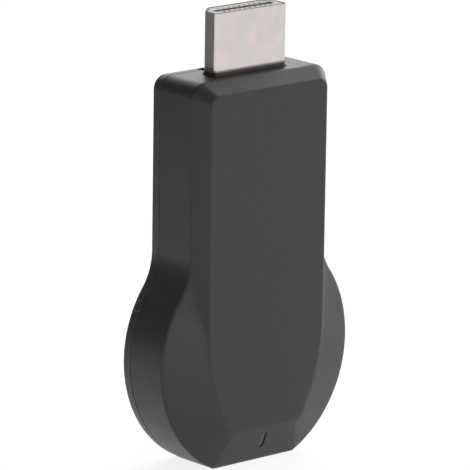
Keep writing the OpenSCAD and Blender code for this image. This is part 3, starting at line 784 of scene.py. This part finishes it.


# Plug sleeve. The display plug's shell, folded from nickel plated steel sheet: its ends
# meet in a dovetail on the narrow side, and two blades at its foot drop into the board.
# The top of its cut end is darkened dull, and its foot is darkened by painted shade: the housing's dark
# reflection and its shadow.
plug_sheet_t = 0.3 * mm


def plug_ring(inset, z):
    corner = max(plug_corner_r - inset, plug_corner_r / 3)
    return standing(rounded(plug_corners(inset), corner), z)


def plug_tube():
    outer_soft = 0.07 * mm
    inner_soft = 0.04 * mm
    rings = [plug_ring(0, board_top)]
    rings += [plug_ring(grow, plug_top - drop) for grow, drop in flare(outer_soft)]
    rings += [plug_ring(plug_sheet_t - grow, plug_top - drop) for grow, drop in reversed(flare(inner_soft))]
    rings.append(plug_ring(plug_sheet_t, board_top))
    return skinned("plug_sleeve", rings, loop=True)


def strip(path, width):
    """Outline of a bent strip: the path with half its width on each side."""
    path = [Vector(p) for p in path]
    left, right = [], []
    for k, here in enumerate(path):
        along = [(b - a).normalized() for a, b in zip(path[max(k - 1, 0):k + 1], path[k:k + 2])]
        if k == 0:
            along = [(path[1] - here).normalized()]
        middle = sum(along, Vector((0, 0))).normalized()
        side = Vector((-middle.y, middle.x)) * width / 2 / middle.dot(along[0])
        left.append(here + side)
        right.append(here - side)
    return left + right[::-1]


def plug_seam():
    """The thin groove where the folded sheet's two ends meet."""
    tail_z = housing_h + 4.2 * mm
    tail_h = 1.1 * mm
    tail_w = 1 * mm
    spread_h = 0.25 * mm
    groove_w = 0.06 * mm
    groove_t = 0.14 * mm
    path = [(0, board_top - overrun), (0, tail_z - tail_h + spread_h), (tail_w, tail_z - tail_h),
            (tail_w, tail_z + tail_h), (0, tail_z + tail_h - spread_h), (0, plug_top + overrun)]
    return prism("plug_seam", strip(path, groove_w), plug_back - groove_t, plug_back + overrun)


def mirrored_blocks(name, low, high):
    """The block between two corners, and its mirror image on the left."""
    return [block(name, (-high[0], *low[1:]), (-low[0], *high[1:])), block(name, low, high)]


def plug_blades():
    blade_h = 2.2 * mm
    reach = 1.4 * mm
    return mirrored_blocks("blade", (plug_x - plug_sheet_t, plug_middle - reach, board_top - blade_h),
                           (plug_x, plug_front + plug_side_t, board_top + overrun))


def found(made, kind):
    """The node of a kind in a finished material."""
    return next(node for node in made.node_tree.nodes if node.bl_idname == kind)


def source(node, name):
    """What feeds a node's input: a socket, or the input's own value."""
    taken = node.inputs[name]
    return taken.links[0].from_socket if taken.links else taken.default_value


def height_of(add):
    axes = add("ShaderNodeSeparateXYZ", {0: add("ShaderNodeTexCoord").outputs["Object"]})
    return axes.outputs["Z"]


def darkened_band(made, dull_z, plain_z, colour):
    """Darkens the plating to a dull colour that fades out from one height to another."""
    dark_roughness = 0.5
    add = node_adder(made.node_tree)
    surface = found(made, "ShaderNodeBsdfPrincipled")
    plain_share = ramped(add, height_of(add), dull_z, plain_z)
    feed(surface, {
        "Base Color": mixed(add, plain_share, colour, source(surface, "Base Color")),
        "Roughness": add("ShaderNodeMix", {"Factor": plain_share, "A": dark_roughness,
                                           "B": source(surface, "Roughness")}),
        "Metallic": maths(add, "MULTIPLY", plain_share, source(surface, "Metallic"))})


nickel = finish("nickel_plate", (0.62, 0.575, 0.56), 0.16, grain=0.5, wear=0.5, patch=2.2,
                rough_change=0.07, metallic=1.0, worn_colour=(0.80, 0.78, 0.76),
                tints=((0.51, 0.53, 0.49), (0.72, 0.61, 0.62)))
# Painted shade and painted reflection: the sleeve's foot is darkened where the dark housing is mirrored in
# it and shades it.
painted_shade_h, painted_shade_end = 0.35 * mm, 1.05 * mm
darkened_band(nickel, housing_h + painted_shade_h, housing_h + painted_shade_end, (0.045, 0.045, 0.043))
# The top of the sleeve's cut end is darkened to a dull near-black.
cut_h, cut_end = 0.02 * mm, 0.08 * mm
darkened_band(nickel, plug_top - cut_h, plug_top - cut_end, (0.05, 0.05, 0.05))
plug_sleeve = worked(plug_tube(), ("UNION", plug_blades()), ("DIFFERENCE", [plug_seam()]))
fitted(smooth(plug_sleeve), "plug_steel", nickel, "plug_shell")


# Plug block. A grey moulding pressed into the sleeve. It keeps the mating slot open behind
# two lips, and holds each contact in a channel that ends in a small pocket at its face.
contact_pitch = 1 * mm
contact_w = 0.4 * mm
contact_t = 0.15 * mm
slot_t = 1.3 * mm
mate_front = board_back - slot_t
mate_x = 5.8 * mm
# Name, number of contacts, wall of the slot, side and board face of each row
contact_rows = (("front", 10, mate_front, -1, board_front), ("back", 9, board_back, 1, board_back))
block_recess = 0.06 * mm
block_top = plug_top - block_recess
lip_h = 0.6 * mm


def plug_moulding():
    snug = 0.03 * mm
    face_soft = 0.15 * mm
    inset = plug_sheet_t + snug
    rings = [plug_ring(inset, board_top)]
    rings += [plug_ring(inset + grow, block_top - drop) for grow, drop in flare(face_soft)]
    return skinned("plug_block", rings)


def mating_slot():
    """The slot, wide where it meets the contacts and narrower between two lips at its mouth."""
    lip_w = 0.12 * mm
    slot_h = 7 * mm
    lip_soft = 0.05 * mm

    def ring(grow, drop):
        return standing(rectangle((-mate_x - grow, mate_front - grow),
                                  (mate_x + grow, board_back + grow)), block_top - drop)

    return mouth("mating_slot", [ring(0, slot_h - block_recess), ring(0, lip_h + lip_w),
                                 ring(-lip_w, lip_h)],
                 lambda grow, drop: ring(grow - lip_w, drop), lip_soft, upwards)


# Geometry nodes that set copies of a piece in a straight row about its own place
row_tree = bpy.data.node_groups.new("spaced_row", "GeometryNodeTree")
for label, kind in (("Piece", "Geometry"), ("Count", "Int"), ("Step", "Vector"), ("Finish", "Material")):
    row_tree.interface.new_socket(label, in_out="INPUT", socket_type="NodeSocket" + kind)
row_tree.interface.new_socket("Row", in_out="OUTPUT", socket_type="NodeSocketGeometry")
add = node_adder(row_tree)
given = add("NodeGroupInput").outputs
half = maths(add, "MULTIPLY", maths(add, "SUBTRACT", given["Count"], 1), -0.5)
start = add("ShaderNodeVectorMath", {0: given["Step"], "Scale": half}, operation="SCALE")
line = add("GeometryNodeMeshLine", {"Count": given["Count"], "Start Location": start,
                                    "Offset": given["Step"]}, mode="OFFSET")
copies = add("GeometryNodeInstanceOnPoints", {"Points": line, "Instance": given["Piece"]})
solid = add("GeometryNodeRealizeInstances", {"Geometry": copies})
coated = add("GeometryNodeSetMaterial", {"Geometry": solid, "Material": given["Finish"]})
add("NodeGroupOutput", {"Row": coated})


def in_row(piece, count, step, material):
    """The piece repeated in a row, as one plain mesh."""
    row = piece.modifiers.new("row", "NODES")
    row.node_group = row_tree
    values = {"Count": count, "Step": step, "Finish": material}
    for socket in row_tree.interface.items_tree:
        if socket.in_out == "INPUT" and socket.name in values:
            row[socket.identifier] = values[socket.name]
    return settled(piece)


grey_plastic = finish("grey_plastic", (0.32, 0.32, 0.32), 0.36, grain=0.12, depth=0.003, tone=0.04, patch=2)


def contact_rooms(near, far, low_z, high_z):
    """Rooms for the contacts in both walls of the slot, between two distances into them."""
    side_gap = 0.08 * mm
    room_x = contact_w / 2 + side_gap
    rows = []
    for place, count, wall_y, side, pad_y in contact_rows:
        low_y, high_y = sorted((wall_y + side * near, wall_y + side * far))
        room = block("contact_room", (-room_x, low_y, low_z), (room_x, high_y, high_z))
        rows.append(in_row(room, count, (contact_pitch, 0, 0), grey_plastic))
    return rows


channel_open = 0.05 * mm
channel_t = 0.55 * mm
pocket_near, pocket_far = 0.11 * mm, 0.53 * mm
plug_block = worked(plug_moulding(), (
    "DIFFERENCE", [mating_slot()]
    + contact_rooms(-channel_open, channel_t, board_top - overrun, block_top - lip_h)
    + contact_rooms(pocket_near, pocket_far, block_top - lip_h - overrun, plug_top + overrun)))
fitted(smooth(plug_block), "pale_plastic", grey_plastic, "plug_insulator")


# Plug fingers. Gold plated spring contacts, ten in front and nine behind, pressed up the
# block's channels. Each steps across to the board, where its tail is soldered.
def softened(piece, width, segments=2):
    """Rounds the piece's edges."""
    bevel = piece.modifiers.new("soft_edges", "BEVEL")
    bevel.width = width
    bevel.segments = segments
    bevel.limit_method = "ANGLE"
    bevel.angle_limit = radians(40)
    return smooth(settled(piece))


sideways = Matrix.Rotation(pi / 2, 4, "Z")


def plug_finger(name, row_y, side, pad_y):
    """One contact: a curled tip, a straight run, a step across and a flat tail."""
    middle = side * contact_t / 2
    tip = plug_top - 1 * mm
    curl = ((0.42 * mm, 0), (0.16 * mm, 0.5 * mm), (contact_t / 2, 1.1 * mm))
    step_h = 0.6 * mm
    tail_h = 1.9 * mm
    edge_soft = 0.03 * mm
    path = [(row_y + side * out, tip - down) for out, down in curl]
    path += [(row_y + middle, board_top), (pad_y + middle, board_top - step_h),
             (pad_y + middle, board_top - tail_h)]
    item = prism(name, strip(path, contact_t), -contact_w / 2, contact_w / 2)
    item.data.transform(sideways)
    return softened(item, edge_soft)


gold = finish("gold_plate", (0.83, 0.62, 0.25), 0.28, grain=0.2, depth=0.001, metallic=1.0,
              worn_colour=(0.9, 0.76, 0.5))
for place, count, row_y, side, pad_y in contact_rows:
    finger = plug_finger("plug_fingers_" + place, row_y, side, pad_y)
    fitted(in_row(finger, count, (contact_pitch, 0, 0), gold), "gold_plate", gold, "plug_contacts_" + place)


# Power socket. A bright steel shell folded round a black moulding, with five contacts on
# its tongue. Its mouth is flared to guide the lead, and two ears hold it on the board.
usb_sheet_t = 0.25 * mm


def socket_ring(inset, z):
    corner_cut = 0.8 * mm
    corner_r = 0.35 * mm
    cut = corner_cut - mitre(inset)
    x = usb_x - inset
    low, high = board_back + inset, usb_high.y - inset
    corners = [(-x, low), (x, low), (x, high - cut), (x - cut, high), (-x + cut, high), (-x, high - cut)]
    return standing(rounded(corners, corner_r), z)


def socket_tube():
    mouth_flare = 0.14 * mm
    rings = [socket_ring(0, usb_high.z)]
    rings += [socket_ring(-grow, usb_low.z + drop) for grow, drop in flare(mouth_flare)]
    rings += [socket_ring(usb_sheet_t - grow, usb_low.z + drop)
              for grow, drop in reversed(flare(2 * mouth_flare))]
    rings.append(socket_ring(usb_sheet_t, usb_high.z))
    return skinned("socket_sleeve", rings, loop=True)


def socket_ears():
    low = usb_high.z / 2
    ear_h = 1.6 * mm
    ear_reach = 0.9 * mm
    return mirrored_blocks("ear", (usb_x - usb_sheet_t, board_back, low),
                           (usb_x + ear_reach, board_back + usb_sheet_t, low + ear_h))


def socket_seam():
    side_step = 0.6 * mm
    groove_w = 0.05 * mm
    groove_t = 0.1 * mm
    low, high = (usb_low.z + usb_depth * share for share in (0.8, 0.9))
    path = [(0, usb_low.z - overrun), (0, low), (side_step, high), (side_step, usb_high.z + overrun)]
    return prism("socket_seam", strip(path, groove_w), usb_high.y - groove_t, usb_high.y + overrun)


socket_sleeve = worked(socket_tube(), ("UNION", socket_ears()), ("DIFFERENCE", [socket_seam()]))
bright_steel = finish("bright_steel", (0.62, 0.62, 0.61), 0.27, grain=0.3, wear=0.5, patch=1.6,
                      metallic=1.0, worn_colour=(0.75, 0.75, 0.74))
fitted(smooth(socket_sleeve), "socket_steel", bright_steel, "usb_shell")


def socket_moulding():
    """The block that closes the socket's back, with the tongue standing on it."""
    tongue_low, tongue_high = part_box("usb_tongue")
    snug = 0.03 * mm
    block_h = 1.5 * mm
    tongue_x = 2.6 * mm
    tongue_t = 0.65 * mm
    tongue_front = (board_back + usb_high.y) / 2 + tongue_t / 2
    base = skinned("socket_block", [socket_ring(usb_sheet_t + snug, z)
                                    for z in (tongue_high.z - block_h, tongue_high.z)])
    tongue = block("tongue", (-tongue_x, tongue_front, tongue_low.z),
                   (tongue_x, tongue_front + tongue_t, tongue_high.z - block_h / 2))
    return worked(base, ("UNION", [tongue]))


black_plastic = finish("black_plastic", (0.028, 0.028, 0.03), 0.42, grain=0.12, depth=0.003, wear=0.2)
tongue_soft = 0.08 * mm
fitted(softened(socket_moulding(), tongue_soft), "black_plastic", black_plastic, "usb_tongue")

finger_low, finger_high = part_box("usb_contacts")
finger_x = 0.175 * mm
finger_count = 5
finger_pitch = 0.65 * mm
finger_soft = 0.04 * mm
usb_finger = block("socket_fingers", (-finger_x, finger_low.y, finger_low.z),
                   (finger_x, finger_high.y, finger_high.z))
fitted(in_row(softened(usb_finger, finger_soft), finger_count, (finger_pitch, 0, 0), gold),
       "gold_plate", gold, "usb_contacts")


# Main board. Glass laminate under a green solder mask, cut to the housing's shape. Its
# copper tracks, which turn square corners, stand out faintly. Four pins hold it in place.
board_tracks, add = new_group("board_tracks", {"Field Size": 6 * mm, "Track Pitch": 0.6 * mm}, "Mask")
sizes = add("NodeGroupInput").outputs
fields = add("ShaderNodeTexVoronoi", spread(add, sizes["Field Size"]), distance="CHEBYCHEV")
length = maths(add, "MULTIPLY", fields, sizes["Field Size"])
turns = maths(add, "DIVIDE", length, sizes["Track Pitch"])
add("NodeGroupOutput", {"Mask": ramped(add, maths(add, "PINGPONG", turns, 0.5), 0.24, 0.30)})


def solder_mask(name, colour, track_colour, field):
    """A glossy lacquer over copper tracks, which lift it a little."""
    track_pitch = 0.55 * mm
    track_t = 0.02 * mm
    made, add = new_material(name)
    texture = add("ShaderNodeGroup", {"Grain Size": 0.15 * mm, "Patch Size": field},
                  node_tree=fine_grain).outputs
    tracks = add("ShaderNodeGroup", {"Field Size": field, "Track Pitch": track_pitch},
                 node_tree=board_tracks)
    surfaced(add, texture, mixed(add, tracks, colour, track_colour), (0.22, 0.36), track_t, tracks)
    return made


def dressed(material, *nodes):
    """Gives its finish to each CAD node whose own shape is kept."""
    for name in nodes:
        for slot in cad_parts[name].material_slots:
            slot.material = material


dressed(solder_mask("green_solder_mask", (0.012, 0.085, 0.040), (0.022, 0.125, 0.060), 7 * mm), "main_board")


# Chips. The processor, the memories, the regulator and the surge guards beside the plug
# are moulded in black resin, with a fine blasted face, and soldered flat to the board.
chip_resin = finish("chip_resin", (0.022, 0.022, 0.024), 0.58, grain=0.06, depth=0.003, tone=0.08,
                    wear=0.15, patch=1.2, rough_change=0.05)
dressed(chip_resin, "processor", "memory_chip", "flash_chip", "regulator", "plug_guard_chips")


# Heat path. A soft silicone pad fills the gap between the processor and an aluminium
# plate, which is sheared from brushed sheet and spreads the heat over the front panel.
pad_silicone = finish("pad_silicone", (0.30, 0.42, 0.55), 0.8, grain=0.3, depth=0.01, wear=0, patch=2)
dressed(pad_silicone, "thermal_pad")


def brushed(name, colour, roughness):
    """Sheet metal brushed along the board's width."""
    lines_per_metre = (200, 9000, 9000)
    made = finish(name, colour, roughness, grain=0.3, tone=0.04, wear=0.5, patch=3, metallic=1.0)
    add = node_adder(made.node_tree)
    drawn = add("ShaderNodeMapping", {"Vector": add("ShaderNodeTexCoord").outputs["Object"],
                                      "Scale": lines_per_metre})
    lines = add("ShaderNodeTexNoise", {"Vector": drawn, "Scale": 1, "Detail": 3})
    feed(found(made, "ShaderNodeBump"), {"Height": lines})
    return made


dressed(brushed("brushed_aluminium", (0.76, 0.77, 0.78), 0.32), "heat_spreader")


# Tinned metal: the leads of the chips, the crystal's can, the radio's shield can and the
# switch's folded cover, all stamped or drawn from thin sheet.
tin_plate = finish("tin_plate", (0.70, 0.70, 0.70), 0.33, grain=0.25, wear=0.5,
                   rough_change=0.07, metallic=1.0, worn_colour=(0.82, 0.82, 0.82))
dressed(tin_plate, "flash_leads", "regulator_leads", "crystal", "wifi_can", "switch_cover")


# Radio. A small daughter board with a blue solder mask lies on the back of the main
# board, under its shield can. Its fired ceramic antenna sits by the front's left edge.
dressed(solder_mask("blue_solder_mask", (0.014, 0.050, 0.110), (0.026, 0.085, 0.160), 4 * mm), "wifi_board")
ceramic = finish("fired_ceramic", (0.62, 0.58, 0.48), 0.45, grain=0.08, tone=0.06, wear=0.1, patch=1)
dressed(ceramic, "chip_antenna")


# Power circuit. A sintered ferrite drum wound with enamelled copper wire, and a yellow
# moulded tantalum capacitor whose printed bar marks its positive end.
ferrite = finish("ferrite", (0.060, 0.060, 0.065), 0.62, grain=0.1, depth=0.006, tone=0.1, patch=0.8)
dressed(ferrite, "power_inductor")
wire_r = 0.11 * mm
wire_turns = 4


def wire_turn():
    """One turn of wire round the drum, as a ring of small round section."""
    middle = sum(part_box("power_inductor"), Vector()) / 2
    drum_r = 1.5 * mm
    round_steps = 48
    section = arc(drum_r + wire_r, middle.y, wire_r, 0, 2 * pi, 10)[:-1]
    rings = [[Vector((middle.x + r * cos(a), y, middle.z + r * sin(a))) for r, y in section]
             for a in (2 * pi * k / round_steps for k in range(round_steps))]
    return skinned("inductor_winding", rings, loop=True)


copper = finish("enamelled_copper", (0.62, 0.24, 0.10), 0.26, grain=0.1, depth=0.001, tone=0.06,
                wear=0.2, patch=0.8, metallic=1.0)
winding = smooth(in_row(wire_turn(), wire_turns, (0, 2 * wire_r, 0), copper))
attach(winding, "housing")


def banded(name, colour, bar_colour, bar_z):
    """Moulded resin with a printed bar above a height."""
    made = finish(name, colour, 0.4, grain=0.1, depth=0.003, tone=0.06, wear=0.1, patch=1)
    add = node_adder(made.node_tree)
    surface = found(made, "ShaderNodeBsdfPrincipled")
    above = maths(add, "GREATER_THAN", height_of(add), bar_z)
    feed(surface, {"Base Color": mixed(add, above, source(surface, "Base Color"), bar_colour)})
    return made


bar_w = 0.8 * mm
bar_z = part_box("tantalum_capacitor")[1].z - bar_w
dressed(banded("tantalum_resin", (0.72, 0.42, 0.07), (0.20, 0.08, 0.02), bar_z), "tantalum_capacitor")


# Small parts. Rows of ceramic capacitors in front and of thick film resistors behind,
# each a fired block with tinned caps at both ends.
tiny_pitch = 1.5 * mm
tiny_count = 7


def chip_row(name, low, high, node, slot, material):
    """Chips between two corners of a CAD row: their bodies, and the caps on their ends."""
    cap_h = 0.22 * mm
    body_soft, cap_soft = 0.02 * mm, 0.04 * mm
    thin = Vector((0.03, 0.03, 0)) * mm
    middle = (low.z + high.z) / 2
    half_h = (high.z - low.z - (tiny_count - 1) * tiny_pitch) / 2
    foot, neck, shoulder, top = [middle + z for z in (-half_h, cap_h - half_h, half_h - cap_h, half_h)]

    def piece(name, inset, from_z, to_z):
        a, b = low + inset, high - inset
        return block(name, (a.x, a.y, from_z), (b.x, b.y, to_z))

    def row_of(chip, slot, material, *nodes):
        fitted(in_row(chip, tiny_count, (0, 0, tiny_pitch), material), slot, material, *nodes)

    row_of(softened(piece(name, thin, neck, shoulder), body_soft, 1), slot, material, node)
    caps = worked(piece(name + "_caps", thin * 0, foot, neck),
                  ("UNION", [piece("cap", thin * 0, shoulder, top)]))
    row_of(softened(caps, cap_soft), "tin_plate", tin_plate)


tan_ceramic = finish("tan_ceramic", (0.50, 0.38, 0.25), 0.45, grain=0.08, tone=0.08, wear=0.1)
capacitors_low, capacitors_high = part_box("ceramic_capacitors")
chip_row("capacitor_row", capacitors_low, capacitors_high, "ceramic_capacitors", "ceramic", tan_ceramic)
chip_w = capacitors_high.x - capacitors_low.x
low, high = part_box("resistors")
left_high = Vector((low.x + chip_w, high.y, high.z))
right_low = Vector((high.x - chip_w, low.y, low.z))
chip_row("resistor_row_left", low, left_high, "resistors", "chip_resin", chip_resin)
chip_row("resistor_row_right", right_low, high, "resistors", "chip_resin", chip_resin)


# Indicator lamp. A small lamp cast in clear resin, soldered to the board behind the
# window's stem.
led_resin = finish(
    "lamp_resin", (0.85, 0.82, 0.65), 0.16, grain=0.3, depth=0.001, tone=0.03, wear=0, patch=0.6)
dressed(led_resin, "status_led")


# Side switch. A black moulded base under its tinned cover holds the pale plunger, which the button pushes
# in.
dressed(black_plastic, "switch_body")
pale_plastic = finish(
    "pale_plastic", (0.72, 0.72, 0.70), 0.5, grain=0.12, depth=0.003, tone=0.03, wear=0.1, patch=2)
dressed(pale_plastic, "switch_plunger")
